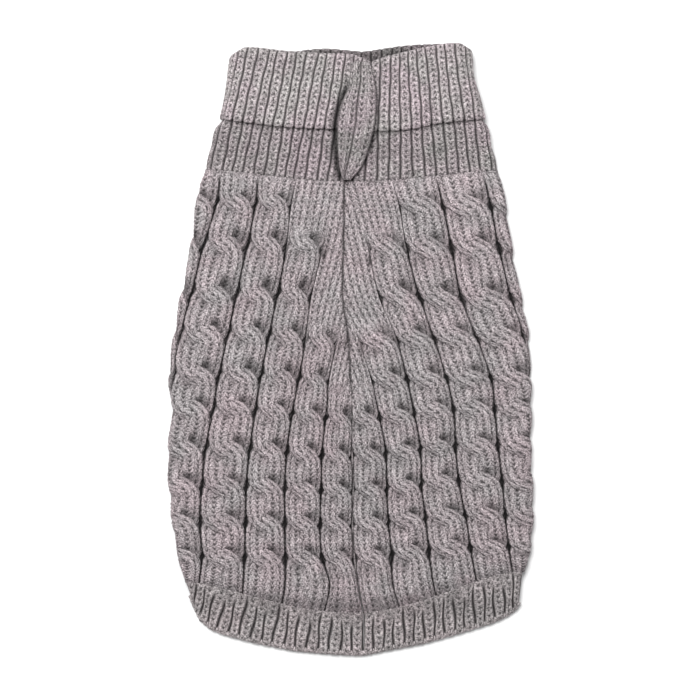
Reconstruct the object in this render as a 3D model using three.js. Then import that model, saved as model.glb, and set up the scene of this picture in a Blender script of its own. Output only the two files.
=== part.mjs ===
import * as THREE from 'three';

// A chunky cable-knit dog sweater with a turned-down ribbed collar, laid flat with its back up.
// Millimetres. +X is the garment's right-hand edge in this view, +Y runs to the collar, +Z is up.
// The belly panel rests on the surface, the back panels lie on it, and both are joined by side folds.

// Walls and layers
const SEAM_GAP = 0.3;
const BELLY_WALL = 3.0;
const BACK_WALL = 2.5;
const COLLAR_WALL = 3.2;
const BACK_LIFT = BELLY_WALL + SEAM_GAP;

// How far each knit stands above the bottom of a purl gutter
const PLAIN_RAISE = 1.0;
const CABLE_RAISE = 4.0;
const RIB_RAISE = 1.3;

// The side fold, where a back panel turns under, and the inner face of that fold
const FOLD_REACH = 4.5;
const FOLD_HALF = (BACK_LIFT + BACK_WALL + PLAIN_RAISE) / 2;
const FOLD_ARC = Math.PI * Math.sqrt((FOLD_REACH ** 2 + FOLD_HALF ** 2) / 2);
const INNER_FOLD_REACH = 1.2;
const UNDER_WALL = 2.6;

// The side seams on the underside: widest at the chest, drawn in towards the neck and the hem
const SIDE_SEAM_CHEST = 88;
const CHEST_Y = -17;
const SIDE_SEAM_DRAW_IN = 18;
const CHEST_TO_NECK = 120;
const LEAST_TURNED_UNDER = 3;

// The leg openings and their bands, ovals in the belly panel
const LEG = { x: 40, y: 46, halfWidth: 17.5, halfLength: 22.5, band: 8, steps: 28 };

// The belly panel between the collar and its own, shorter hem, and the back's drop past that hem
const BELLY_HEM_TOP = -113;
const BELLY_HEM_END = -133;
const DROP_STARTS = -138;
const DROP_ENDS = -153;

// Ribs and mesh steps
const COLLAR_RIBS = 25;
const HEM_RIBS = { left: 17, right: 16 };
const COLUMN_STEPS = [4, 4, 4, 4, 6, 5];
const ROWS_PER_CROSSING = 5;
const INNER_STOPS = [0, 0.13, 0.26, 0.39, 0.52, 0.64, 0.74, 0.83, 0.91];
const INNER_ROW_STEP = 3;
const UNDERSIDE_STEP = 6;

// Sections across the back, one row for each height: where the edges, the centre seam
// and the purl gutters between the cable columns lie. Gutters are counted outwards from the seam.
const BACK_SECTIONS = table(
  ['y', 'leftEdge', 'left5', 'left4', 'left3', 'left2', 'left1', 'seam',
    'right1', 'right2', 'right3', 'right4', 'right5', 'rightEdge'],
  [
    [104, -83.5, -74.5, -53.0, -29.5, -19.0, -11.0, -4.0, 3.0, 11.0, 20.5, 47.0, 74.5, 83.5],
    [84, -87.8, -76.8, -54.5, -34.0, -20.0, -11.0, -4.2, 3.5, 12.0, 26.5, 51.8, 79.0, 87.0],
    [59, -91.0, -84.5, -59.5, -37.0, -17.0, -10.5, -4.5, 3.0, 9.0, 31.0, 57.0, 84.0, 90.5],
    [30, -96.8, -91.8, -65.8, -42.5, -22.8, -14.5, -5.0, 5.5, 15.5, 38.9, 62.5, 91.0, 96.0],
    [8, -100.8, -98.0, -70.5, -47.0, -25.8, -18.0, -2.0, 8.0, 25.0, 46.5, 71.0, 98.5, 100.5],
    [-17, -103.8, -102.0, -76.0, -52.0, -30.0, -14.0, -0.5, 11.0, 31.8, 54.4, 79.8, 104.0, 102.2],
    [-36, -102.6, -105.0, -79.2, -55.0, -33.7, -14.2, 0.5, 15.5, 35.8, 58.5, 81.9, 107.0, 102.0],
    [-58, -104.2, -109.0, -83.5, -58.0, -36.8, -16.7, 0.3, 19.5, 39.5, 59.5, 84.0, 110.0, 101.6],
    [-78, -103.4, -111.0, -85.3, -60.0, -38.0, -17.2, 1.0, 20.2, 40.0, 61.7, 86.3, 112.0, 102.5],
    [-98, -101.4, -112.0, -86.5, -60.4, -38.0, -17.8, 0.5, 21.0, 42.5, 65.6, 88.0, 113.0, 102.6],
    [-118, -98.0, -111.0, -85.3, -61.0, -37.8, -17.0, 1.6, 23.1, 44.6, 68.7, 90.5, 112.0, 100.5],
    [-134, -94.8, -110.0, -87.0, -61.8, -38.0, -12.5, 3.8, 23.6, 46.8, 71.5, 93.0, 110.0, 97.8],
    [-152, -94.0, -110.0, -88.0, -63.0, -41.0, -16.0, 7.0, 29.0, 52.0, 74.0, 94.0, 110.0, 96.0],
  ],
);

// Heights of the cable crossings, counted from the collar seam down to the top of the hem.
// Each level bends smoothly from the centre value to the side value, which it has at its reach.
const CROSSINGS = table(
  ['left', 'centre', 'right', 'reach'],
  [
    [103, 96, 102.5, 90],
    [84, 84, 82, 60],
    [60, 59, 58, 60],
    [31, 31, 28, 60],
    [9, 4, 7, 60],
    [-15, -18, -17, 60],
    [-34, -40, -34, 60],
    [-57, -61, -55, 60],
    [-78, -81, -75, 60],
    [-99, -100, -95, 60],
    [-119, -119, -113, 60],
    [-133, -151, -127, 100],
  ],
);
const LAST_CROSSING = CROSSINGS.length - 2;
const HEM_LEVEL = CROSSINGS.length - 1;

// The crossing level below which each gutter is cut and each column is cabled, from the seam outwards
const GUTTER_START = [-1, 3.9, 1.95, -1, -1, -1, 99];
const CABLE_START = [5.4, 3.8, 1.8, 0.2, 0.2, 0.2];

// The free edge of the back hem, from the centre seam out to each side
const HEM_EDGE = {
  left: table(['x', 'y'], [
    [6.5, -175.2], [-10, -174.5], [-33, -172.4], [-55, -168], [-72, -163.5], [-80, -160.5],
    [-86, -155.5], [-89.5, -148], [-91.8, -141],
  ]),
  right: table(['x', 'y'], [
    [6.5, -175.2], [20, -172.3], [40, -168.6], [60, -163], [80, -156.5], [90, -152], [95, -146.5],
  ]),
};
const HEM_WALL = 2.4;
const HEM_ROLL = 0.9;
const HEM_ROWS = [0, 0.3, 0.62, 0.9, 1];
const HEM_TOP_END = { left: -94.6, right: 97.6 };

// The collar's sides, one row for each height, and the top edges of its front and hind layers
const COLLAR_SIDES = table(
  ['y', 'left', 'right'],
  [
    [96, -83.6, 83.9],
    [108, -82.6, 82.6],
    [117, -80.0, 80.0],
    [124, -78.6, 79.0],
    [130, -76.0, 77.3],
    [143, -73.0, 74.0],
    [155, -71.2, 70.3],
    [165, -70.0, 69.3],
    [175, -68.0, 69.0],
  ],
);
const COLLAR_TOP = table(
  ['x', 'front', 'behind'],
  [
    [-70, 168.5, 169],
    [-60, 172, 173],
    [-35, 170, 170.5],
    [-14, 170, 171.5],
    [0, 168.6, 170],
    [6, 166.2, 169.6],
    [11, 164, 170],
    [17, 166.5, 171],
    [30, 170, 173],
    [42, 172.4, 173.8],
    [60, 174.7, 174.7],
    [70, 171.5, 172],
  ],
);
const COLLAR_TURN_EDGE = table(
  ['x', 'y'],
  [[-76, 131], [-60, 129], [-40, 126.5], [-8, 125], [14, 124], [33, 125], [50, 128.5], [77, 131]],
);
const STAND_HIDDEN_ABOVE = 129;
const STAND_FULL_BELOW = 121;
const SEAM_TO_LIFT = { from: 103, to: 125 };
const COLLAR_STEPS = { fold: 4, hind: 18 };

// The leaf of ribbing over the centre seam, one row for each height: its sides and its crease
const LEAF = table(
  ['y', 'left', 'crease', 'right'],
  [
    [163, -0.5, 5.5, 10.5],
    [155, -1.0, 5.2, 12.8],
    [148, -2.0, 4.4, 14.0],
    [140, -5.5, 3.2, 14.2],
    [130, -7.7, 2.5, 13.5],
    [122, -8.0, 1.2, 11.8],
    [114, -7.8, -0.4, 9.6],
    [106, -7.0, -2.2, 6.4],
    [100, -5.6, -3.6, 2.4],
    [96.5, -4.8, -4.1, -2.4],
  ],
);
const LEAF_WALL = 2.0;
const LEAF_RAISE = 2.2;
const LEAF_STEPS = { rows: 16, lobe: 4 };
const LEAF_DROP = { from: 123.5, to: 111 };

// One colour for each knit: the turned collar catches most light, the hem and underside least
const YARN = { collar: '#9f9698', back: '#938a8d', hem: '#898485', belly: '#8a8385' };

function table(columns, rows) {
  return rows.map((row) => Object.fromEntries(columns.map((name, i) => [name, row[i]])));
}

function mix(a, b, t) {
  return a + (b - a) * t;
}

// 0 at from, 1 at to, with a soft start and end, whichever of the two is larger
function smooth(from, to, value) {
  const t = Math.min(1, Math.max(0, (value - from) / (to - from)));
  return t * t * (3 - 2 * t);
}

// A smooth curve through one column of a table, read at a value of its key column
function read(rows, key, column, at) {
  const rising = rows[rows.length - 1][key] > rows[0][key];
  const sorted = rising ? rows : [...rows].reverse();
  const last = sorted.length - 1;
  const value = Math.min(sorted[last][key], Math.max(sorted[0][key], at));
  let i = 0;
  while (i < last - 1 && sorted[i + 1][key] < value) {
    i += 1;
  }
  const slope = (j) => {
    const before = sorted[Math.max(0, j - 1)];
    const after = sorted[Math.min(last, j + 1)];
    return (after[column] - before[column]) / (after[key] - before[key]);
  };
  const span = sorted[i + 1][key] - sorted[i][key];
  const t = (value - sorted[i][key]) / span;
  const level = mix(sorted[i][column], sorted[i + 1][column], t * t * (3 - 2 * t));
  return level + span * t * (1 - t) * ((1 - t) * slope(i) - t * slope(i + 1));
}

// The point at a share of the whole length of a polyline of table rows with x and y
function alongEdge(rows, share) {
  const lengths = rows.slice(1).map((row, i) => Math.hypot(row.x - rows[i].x, row.y - rows[i].y));
  const total = lengths.reduce((sum, length) => sum + length, 0);
  let rest = share * total;
  let i = 0;
  while (i < lengths.length - 1 && rest > lengths[i]) {
    rest -= lengths[i];
    i += 1;
  }
  const t = Math.min(1, rest / lengths[i]);
  return { x: mix(rows[i].x, rows[i + 1].x, t), y: mix(rows[i].y, rows[i + 1].y, t) };
}

// Height of a crossing level, a number that need not be whole, at a distance from the seam
function levelY(level, x) {
  const i = Math.min(HEM_LEVEL - 1, Math.floor(level));
  const heights = [CROSSINGS[i], CROSSINGS[i + 1]].map((row) => {
    const inside = 1 - Math.min(1, Math.abs(x) / row.reach) ** 2;
    return mix(x < 0 ? row.left : row.right, row.centre, inside ** 2);
  });
  return mix(heights[0], heights[1], level - i);
}

// The side seams' distance from the middle, the same curve for the back's and the belly's rims
function sideSeam(y) {
  return SIDE_SEAM_CHEST - SIDE_SEAM_DRAW_IN * ((y - CHEST_Y) / CHEST_TO_NECK) ** 2;
}

// Height of the back's inner face: over the belly, then down to the surface past the belly's hem
function backLift(y) {
  return BACK_LIFT * smooth(DROP_ENDS, DROP_STARTS, y);
}

// Two strands that wind round each other. The left one always passes in front to the right.
// across is 0 to 1 over the column from left to right, and a crossing lies at each whole level.
function cableRaise(across, level) {
  const turn = Math.PI * level;
  const swing = (0.25 * Math.tanh(1.5 * Math.sin(turn))) / Math.tanh(1.5);
  const strand = (centre, depth) => {
    const t = (across - centre) / 0.3;
    return CABLE_RAISE * (0.82 + 0.18 * depth) * Math.sqrt(Math.max(0, 1 - t * t));
  };
  return Math.max(strand(0.5 + swing, Math.cos(turn)), strand(0.5 - swing, -Math.cos(turn)));
}

// Height of the knit above the bottom of a gutter. out is 0 to 1 across the column, from the seam side
function columnRaise(side, column, out, level) {
  const cabled = smooth(CABLE_START[column] - 0.4, CABLE_START[column] + 0.2, level);
  const aboveHem = smooth(HEM_LEVEL, LAST_CROSSING + 0.6, level);
  const across = side < 0 ? 1 - out : out;
  const cable = mix(PLAIN_RAISE, cableRaise(across, level), 0.35 + 0.65 * aboveHem);
  const cut = (gutter, distance) => {
    const depth = smooth(GUTTER_START[gutter] - 0.2, GUTTER_START[gutter] + 0.1, level);
    return mix(1, Math.min(1, distance * 6), depth);
  };
  const gutters = Math.min(cut(column, out), cut(column + 1, 1 - out));
  return mix(PLAIN_RAISE, Math.max(cable, 0), cabled) * gutters;
}

function sideName(side) {
  return side < 0 ? 'left' : 'right';
}

function edgeAt(side, edge, y) {
  return Math.abs(read(BACK_SECTIONS, 'y', `${sideName(side)}${edge}`, y));
}

function seamAt(side, y) {
  return side * read(BACK_SECTIONS, 'y', 'seam', y) + SEAM_GAP / 2;
}

function rimGap(level) {
  if (level === 0) {
    return -SEAM_GAP / 2;
  }
  return level === HEM_LEVEL ? SEAM_GAP / 2 : 0;
}

// A level's height depends on where the point lies across the back, and the sections on the height,
// so the point is placed at the level's middle height first and then at its own, a few times over
function onLevel(side, level, placeAt) {
  let y = levelY(level, 0);
  for (let round = 0; round < 4; round += 1) {
    y = levelY(level, side * placeAt(y).x);
  }
  const place = placeAt(y);
  return new THREE.Vector3(side * place.x, y + rimGap(level), place.z);
}

// A point of a back panel's outer face, in column number column, out of the way across it.
// The distance runs along the cloth, so past the edge the point turns under.
function backPoint(side, column, out, level) {
  const raise = columnRaise(side, column, out, level) - PLAIN_RAISE;
  return onLevel(side, level, (y) => {
    const fold = edgeAt(side, 'Edge', y) - FOLD_REACH;
    const rim = fold + FOLD_ARC + fold - sideSeam(y);
    const gutters = [seamAt(side, y)];
    for (let i = 1; i <= 5; i += 1) {
      gutters.push(Math.min(edgeAt(side, i, y), rim - LEAST_TURNED_UNDER));
    }
    gutters.push(rim);
    const along = mix(gutters[column], gutters[column + 1], out);
    const top = backLift(y) + BACK_WALL + PLAIN_RAISE;
    if (along <= fold) {
      return { x: along, z: top + raise };
    }
    if (along >= fold + FOLD_ARC) {
      return { x: 2 * fold + FOLD_ARC - along, z: 0 };
    }
    const turn = ((along - fold) / FOLD_ARC) * Math.PI;
    const stand = raise * smooth(Math.PI * 0.9, 0, turn);
    const x = fold + (FOLD_REACH + stand * 0.5) * Math.sin(turn);
    return { x, z: Math.max(0, top / 2 + (top / 2 + stand) * Math.cos(turn)) };
  });
}

// The plain inner face of a back panel: flat over the belly, a tight fold, then the turned-under strip
function backInnerPoint(side, step, level) {
  const radius = (BACK_LIFT - UNDER_WALL) / 2;
  return onLevel(side, level, (y) => {
    const fold = edgeAt(side, 'Edge', y) - FOLD_REACH + INNER_FOLD_REACH;
    const stops = INNER_STOPS.map((t) => ({ x: mix(seamAt(side, y), fold, t), z: backLift(y) }));
    stops.push({ x: fold, z: UNDER_WALL + 2 * radius });
    stops.push({ x: fold + radius, z: UNDER_WALL + radius });
    stops.push({ x: fold, z: UNDER_WALL });
    stops.push({ x: sideSeam(y), z: UNDER_WALL });
    return stops[step];
  });
}

// A closed wall between an outer and an inner grid of points, each a list of rows from the collar
// end down. Rows run towards +X on the outer face as it is seen. The rims join grids of unlike steps.
function wall(outer, inner) {
  const points = [];
  const faces = [];
  const number = (grid) => grid.map((row) => row.map((point) => points.push(point) - 1));
  const out = number(outer);
  const inn = number(inner);
  const cover = (ids, flip) => {
    for (let r = 0; r < ids.length - 1; r += 1) {
      for (let c = 0; c < ids[r].length - 1; c += 1) {
        const [a, b, d, e] = [ids[r][c], ids[r][c + 1], ids[r + 1][c], ids[r + 1][c + 1]];
        faces.push(...(flip ? [a, b, d, b, e, d] : [a, d, b, b, d, e]));
      }
    }
  };
  cover(out, false);
  cover(inn, true);
  const sides = (ids) => {
    const last = ids[0].length - 1;
    return [
      ids.map((row) => row[0]),
      ids[ids.length - 1],
      ids.map((row) => row[last]).reverse(),
      [...ids[0]].reverse(),
    ];
  };
  const outSides = sides(out);
  sides(inn).forEach((innSide, k) => zip(points, faces, outSides[k], innSide));
  return solid(points, faces);
}

// Joins two lines of point numbers that start and end together, stepping along the shorter way
function zip(points, faces, upper, lower) {
  const shares = (ids) => {
    const sums = [0];
    for (let i = 1; i < ids.length; i += 1) {
      sums.push(sums[i - 1] + points[ids[i]].distanceTo(points[ids[i - 1]]));
    }
    return sums.map((sum) => sum / sums[sums.length - 1]);
  };
  const [up, low] = [shares(upper), shares(lower)];
  let [i, j] = [0, 0];
  while (i < upper.length - 1 || j < lower.length - 1) {
    const stepUpper = j === lower.length - 1 || (i < upper.length - 1 && up[i + 1] <= low[j + 1]);
    if (stepUpper) {
      faces.push(upper[i + 1], upper[i], lower[j]);
      i += 1;
    } else {
      faces.push(upper[i], lower[j], lower[j + 1]);
      j += 1;
    }
  }
}

// A closed ring wall: rings is a list of closed loops, each the next step round the wall's section
function ringWall(rings) {
  const points = rings.flat();
  const faces = [];
  const around = rings[0].length;
  for (let r = 0; r < rings.length; r += 1) {
    for (let c = 0; c < around; c += 1) {
      const next = ((r + 1) % rings.length) * around;
      const [a, b] = [r * around + c, r * around + ((c + 1) % around)];
      const [d, e] = [next + c, next + ((c + 1) % around)];
      faces.push(a, b, d, b, e, d);
    }
  }
  return solid(points, faces);
}

function solid(points, faces) {
  const geometry = new THREE.BufferGeometry();
  const numbers = points.flatMap((point) => [point.x, point.y, point.z]);
  geometry.setAttribute('position', new THREE.Float32BufferAttribute(numbers, 3));
  geometry.setIndex(faces);
  geometry.computeVertexNormals();
  return geometry;
}

// Back panels
function backPanel(side) {
  const levels = [];
  for (let level = 0; level < HEM_LEVEL; level += 1) {
    const steps = level === LAST_CROSSING ? ROWS_PER_CROSSING + 2 : ROWS_PER_CROSSING;
    for (let i = 0; i < steps; i += 1) {
      levels.push(level + i / steps);
    }
  }
  levels.push(HEM_LEVEL);
  const places = COLUMN_STEPS.flatMap((steps, column) => (
    Array.from({ length: steps }, (_, i) => [column, i / steps])
  ));
  places.push([COLUMN_STEPS.length - 1, 1]);
  const outer = levels.map((level) => places.map(([column, out]) => backPoint(side, column, out, level)));
  const innerLevels = levels.filter((level, i) => i % INNER_ROW_STEP === 0 || level > LAST_CROSSING);
  const stops = Array.from({ length: INNER_STOPS.length + 4 }, (_, i) => i);
  const inner = innerLevels.map((level) => stops.map((step) => backInnerPoint(side, step, level)));
  if (side < 0) {
    [...outer, ...inner].forEach((row) => row.reverse());
  }
  return wall(outer, inner);
}

// Ribs of a hem or collar: 1 on a rib's crest and 0 in the gutter between two ribs
function ribCrest(step) {
  return step % 2;
}

// Back hem: a ribbed band from the body down to the free edge, which rolls over slightly
function backHem(side) {
  const name = sideName(side);
  const ribs = HEM_RIBS[name];
  const seam = seamAt(side, -152);
  const end = Math.abs(HEM_TOP_END[name]);
  const edge = HEM_EDGE[name];
  const point = (share, down, height) => {
    const topX = side * mix(seam, end, share);
    const top = { x: topX, y: levelY(HEM_LEVEL, topX) - SEAM_GAP / 2 };
    const free = alongEdge(edge, share);
    const freeX = share === 0 ? side * seam : free.x;
    const y = mix(top.y, free.y, down);
    return new THREE.Vector3(mix(top.x, freeX, down), y, backLift(y) + height);
  };
  const steps = Array.from({ length: 2 * ribs + 1 }, (_, i) => i);
  const outer = HEM_ROWS.map((down) => steps.map((step) => {
    const ribbed = down > 0.8 ? 0.5 : ribCrest(step);
    const roll = down === 1 ? -HEM_ROLL : 0;
    return point(step / (2 * ribs), down, HEM_WALL + RIB_RAISE * 1.4 * ribbed + roll);
  }));
  const coarse = steps.filter((step) => step % 2 === 0);
  const inner = [0, 0.35, 0.7, 1].map((down) => coarse.map((step) => point(step / (2 * ribs), down, 0)));
  if (side < 0) {
    [...outer, ...inner].forEach((row) => row.reverse());
  }
  return wall(outer, inner);
}

// Underside: one flat panel with the two leg openings cut out of it
function oval(x, y, halfWidth, halfLength, Kind) {
  const points = Array.from({ length: LEG.steps }, (_, i) => {
    const turn = (2 * Math.PI * i) / LEG.steps;
    return new THREE.Vector2(x + halfWidth * Math.cos(turn), y + halfLength * Math.sin(turn));
  });
  return new Kind(points);
}

// A flat piece between the side seams: topAt gives its upper edge across the width
function underside(topAt, endY, holes) {
  const rimX = (y) => sideSeam(y) - SEAM_GAP;
  const cornerY = (side) => topAt(side * rimX(topAt(side * rimX(topAt(0)))));
  const line = (fromY, side) => {
    const steps = Math.ceil((fromY - endY) / UNDERSIDE_STEP);
    return Array.from({ length: steps + 1 }, (_, i) => {
      const y = mix(fromY, endY, i / steps);
      return new THREE.Vector2(side * rimX(y), y);
    });
  };
  const right = line(cornerY(1), 1);
  const left = line(cornerY(-1), -1).reverse();
  const [fromX, toX] = [left[left.length - 1].x, right[0].x];
  const steps = Math.ceil((toX - fromX) / UNDERSIDE_STEP);
  const top = Array.from({ length: steps - 1 }, (_, i) => {
    const x = mix(fromX, toX, (i + 1) / steps);
    return new THREE.Vector2(x, topAt(x));
  });
  const shape = new THREE.Shape([...right, ...left, ...top]);
  shape.holes.push(...holes);
  return new THREE.ExtrudeGeometry(shape, { depth: BELLY_WALL, bevelEnabled: false });
}

function belly() {
  const reach = LEG.band + SEAM_GAP;
  const holes = [-1, 1].map((side) => (
    oval(side * LEG.x, LEG.y, LEG.halfWidth + reach, LEG.halfLength + reach, THREE.Path)
  ));
  return underside((x) => levelY(0, x) - SEAM_GAP / 2, BELLY_HEM_TOP + SEAM_GAP / 2, holes);
}

function bellyHem() {
  return underside(() => BELLY_HEM_TOP - SEAM_GAP / 2, BELLY_HEM_END, []);
}

function legBand(side) {
  const band = oval(side * LEG.x, LEG.y, LEG.halfWidth + LEG.band, LEG.halfLength + LEG.band, THREE.Shape);
  band.holes.push(oval(side * LEG.x, LEG.y, LEG.halfWidth, LEG.halfLength, THREE.Path));
  return new THREE.ExtrudeGeometry(band, { depth: BELLY_WALL, bevelEnabled: false });
}

// Collar: the middle height of its flattened tube, lifted where the turned-down layer lies under it
const STAND_IN = SEAM_GAP / 2;
const STAND_OUT = STAND_IN + COLLAR_WALL;
const TURN_IN = STAND_OUT + SEAM_GAP;
const TURN_OUT = TURN_IN + COLLAR_WALL;

function collarMiddle(y) {
  return mix(STAND_OUT, TURN_OUT, smooth(SEAM_TO_LIFT.from, SEAM_TO_LIFT.to, y));
}

// One step of the collar wall's section: distance off the tube's middle, and a height that is read
// at each place round the tube between the collar seam, the free turned edge and the top fold
const COLLAR_SECTION = table(
  ['off', 'from', 'drop', 'ribbed'],
  [
    [STAND_OUT, 'seam', 0, 1],
    [STAND_OUT, 'seam', 14, 1],
    [STAND_OUT, 'edge', 4, 1],
    [STAND_OUT, 'edge', 24, 0],
    [STAND_OUT, 'top', -6, 0],
    [(STAND_OUT + TURN_IN) / 2, 'top', -3.6, 0],
    [TURN_IN, 'top', -6, 0],
    [TURN_IN, 'edge', 24, 0],
    [TURN_IN, 'edge', 1.2, 0],
    [TURN_IN + 1.1, 'edge', 0, 0],
    [TURN_OUT - 0.5, 'edge', 0.6, 0.6],
    [TURN_OUT, 'edge', 4, 1],
    [TURN_OUT, 'edge', 18, 1],
    [TURN_OUT, 'edge', 31, 1],
    [TURN_OUT - 0.2, 'top', -3.6, 1],
    [TURN_OUT - 1.6, 'top', -0.9, 1],
    [STAND_OUT + 0.2, 'top', 0, 1],
    [STAND_IN + 1.2, 'top', -1.2, 0.5],
    [STAND_IN, 'top', -4.5, 0],
    [STAND_IN, 'edge', 20, 0],
    [STAND_IN, 'edge', -6, 0],
    [STAND_IN, 'seam', 0, 0],
  ],
);

// Half the tube's reach to one side, for a layer at a distance off its middle
function collarSide(side, y, off) {
  const outline = Math.abs(read(COLLAR_SIDES, 'y', sideName(side), y));
  const inTurn = y > STAND_FULL_BELOW ? TURN_OUT - STAND_OUT : 0;
  const tucked = off > STAND_OUT ? 0 : inTurn * smooth(STAND_FULL_BELOW, STAND_HIDDEN_ABOVE, y);
  return outline - tucked;
}

// Where a step of the section lies for one place on the front (1) or hind (-1) layer
function collarY(row, layer, x) {
  const heights = {
    seam: levelY(0, x) + SEAM_GAP / 2,
    edge: read(COLLAR_TURN_EDGE, 'x', 'y', x),
    top: read(COLLAR_TOP, 'x', layer > 0 ? 'front' : 'behind', x),
  };
  return heights[row.from] + row.drop;
}

function collarRing(row) {
  const ring = [];
  const front = 2 * COLLAR_RIBS;
  const outer = row.off > STAND_OUT ? TURN_OUT : STAND_OUT;
  const place = (layer, off, across) => {
    const xAt = (y) => across(outer - collarSide(-1, y, row.off), collarSide(1, y, row.off) - outer);
    const y = collarY(row, layer, xAt(collarY(row, layer, 0)));
    return new THREE.Vector3(xAt(y), y, collarMiddle(y) + off);
  };
  const flat = (layer, share, crest) => {
    const off = row.off - RIB_RAISE * row.ribbed * (1 - crest);
    return place(layer, layer * off, (left, right) => mix(left, right, share));
  };
  const turned = (side, i) => {
    const angle = (Math.PI * i) / COLLAR_STEPS.fold;
    const reach = side * row.off * Math.sin(angle);
    const layer = angle < Math.PI / 2 ? 1 : -1;
    return place(layer, row.off * Math.cos(angle), (left, right) => (side < 0 ? left : right) + reach);
  };
  for (let i = 0; i <= front; i += 1) {
    ring.push(flat(1, i / front, ribCrest(i)));
  }
  for (let i = 1; i < COLLAR_STEPS.fold; i += 1) {
    ring.push(turned(1, i));
  }
  for (let i = 0; i <= COLLAR_STEPS.hind; i += 1) {
    ring.push(flat(-1, 1 - i / COLLAR_STEPS.hind, 1));
  }
  for (let i = COLLAR_STEPS.fold - 1; i > 0; i -= 1) {
    ring.push(turned(-1, i));
  }
  return ring;
}

function collar() {
  return ringWall(COLLAR_SECTION.map(collarRing));
}

// Leaf: lies on the turned collar, drops over its free edge onto the stand, and ends on the back
function leafUnder(y) {
  const onTurn = collarMiddle(LEAF_DROP.from) + TURN_OUT + SEAM_GAP;
  const onStand = collarMiddle(y) + STAND_OUT + 2.5 * SEAM_GAP;
  return mix(onStand, onTurn, smooth(LEAF_DROP.to, LEAF_DROP.from, y));
}

function leaf() {
  const rows = Array.from({ length: LEAF_STEPS.rows + 1 }, (_, i) => {
    const y = mix(LEAF[0].y, LEAF[LEAF.length - 1].y, i / LEAF_STEPS.rows);
    return { y, thin: smooth(LEAF[0].y, LEAF[2].y, y) };
  });
  const across = (row, lobe, t) => {
    const left = read(LEAF, 'y', lobe === 0 ? 'left' : 'crease', row.y);
    const right = read(LEAF, 'y', lobe === 0 ? 'crease' : 'right', row.y);
    return mix(left, right, t);
  };
  const steps = [0, 1].flatMap((lobe) => (
    Array.from({ length: LEAF_STEPS.lobe }, (_, i) => [lobe, i / LEAF_STEPS.lobe])
  ));
  steps.push([1, 1]);
  const outer = rows.map((row) => steps.map(([lobe, t]) => {
    const bump = Math.sin(Math.PI * t) * LEAF_RAISE;
    const height = leafUnder(row.y) + mix(0.8, LEAF_WALL + bump, row.thin);
    return new THREE.Vector3(across(row, lobe, t), row.y, height);
  }));
  const inner = rows.map((row) => [[0, 0], [1, 0], [1, 1]].map(([lobe, t]) => (
    new THREE.Vector3(across(row, lobe, t), row.y, leafUnder(row.y))
  )));
  return wall(outer, inner);
}

const sweater = new THREE.Group();

function add(name, geometry, colour) {
  const material = new THREE.MeshStandardMaterial({ color: colour, roughness: 0.95, metalness: 0 });
  const piece = new THREE.Mesh(geometry, material);
  piece.name = name;
  sweater.add(piece);
}

add('belly', belly(), YARN.belly);
add('hem_belly', bellyHem(), YARN.hem);
[-1, 1].forEach((side) => {
  add(`leg_band_${sideName(side)}`, legBand(side), YARN.hem);
  add(`back_${sideName(side)}`, backPanel(side), YARN.back);
  add(`hem_back_${sideName(side)}`, backHem(side), YARN.hem);
});
add('collar', collar(), YARN.collar);
add('collar_fold', leaf(), YARN.collar);

// The origin is the middle of the sweater's outline, on the surface that it lies on
const box = new THREE.Box3().setFromObject(sweater);
const middle = box.getCenter(new THREE.Vector3());
sweater.position.set(-middle.x, -middle.y, -box.min.z);

export default sweater;
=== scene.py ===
import bpy
import numpy as np
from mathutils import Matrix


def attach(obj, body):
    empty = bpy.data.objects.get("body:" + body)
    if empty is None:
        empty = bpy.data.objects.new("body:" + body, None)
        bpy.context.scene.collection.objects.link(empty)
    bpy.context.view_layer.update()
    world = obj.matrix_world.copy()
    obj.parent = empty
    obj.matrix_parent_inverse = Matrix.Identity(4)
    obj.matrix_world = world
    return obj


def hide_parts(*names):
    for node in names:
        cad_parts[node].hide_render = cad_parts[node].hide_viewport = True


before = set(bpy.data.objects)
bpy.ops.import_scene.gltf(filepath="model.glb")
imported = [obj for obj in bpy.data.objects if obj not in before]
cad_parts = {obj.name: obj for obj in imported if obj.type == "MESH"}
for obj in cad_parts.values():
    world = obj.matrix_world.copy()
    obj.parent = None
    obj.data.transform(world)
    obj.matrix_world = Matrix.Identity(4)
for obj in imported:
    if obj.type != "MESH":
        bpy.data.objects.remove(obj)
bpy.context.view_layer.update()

# Cloth of the back, left and right halves: the plain stocking stitch beside the centre seam, and
# the ground under the cables. Chunky acrylic yarn, knitted flat from the hem up, each half turned
# under along its side to meet the belly, and the two halves sewn together down the middle.
# How far plain knitting stands up, the back's wall, its lift over the belly, and the side fold
PLAIN_TOP = 1.0
BACK_WALL = 2.5
BACK_LIFT = 3.3
FOLD_REACH = 4.5
FOLD_ARC = np.pi * np.sqrt((FOLD_REACH**2 + ((BACK_LIFT + BACK_WALL + PLAIN_TOP) / 2) ** 2) / 2)
# Counts: crossing levels, rows of the back, cable columns on each side, wales in a column, and mesh
# steps in a row
LAST_LEVEL = 11
BACK_ROWS = 77
COLUMNS = 6
WALES = 6
STEPS_DOWN = 4
HALF_WALE, ROW, YARN_ROW = 2.1, 3.2, 3.1
# Twice the area of the smallest face that is kept
LEAST_FACE = 2e-4
# Ground under the cables: heights of its gutters and pillows, their painted shade (gutters near
# black, pillows dim under the ribbons), and how far plain knitting sinks where a cable begins
GUTTER_FLOOR, PILLOW = -1.6, -0.7
GUTTER_SHADE, PILLOW_SHADE = 0.015, 0.6
SUNK = 2.2
# Half the gap at a seam, and the dip beside the centre seam
SEAM_CLEAR, SEAM_DIP, SEAM_DIP_WIDE = 0.15, 0.8, 0.7
# Side seams, and where the back drops past the belly's hem
SIDE_SEAM_CHEST, SIDE_SEAM_DRAW_IN = 88, 18
CHEST_Y, CHEST_TO_NECK = -17, 120
LEAST_TURNED_UNDER = 3
DROP_STARTS, DROP_ENDS = -138, -153
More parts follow.
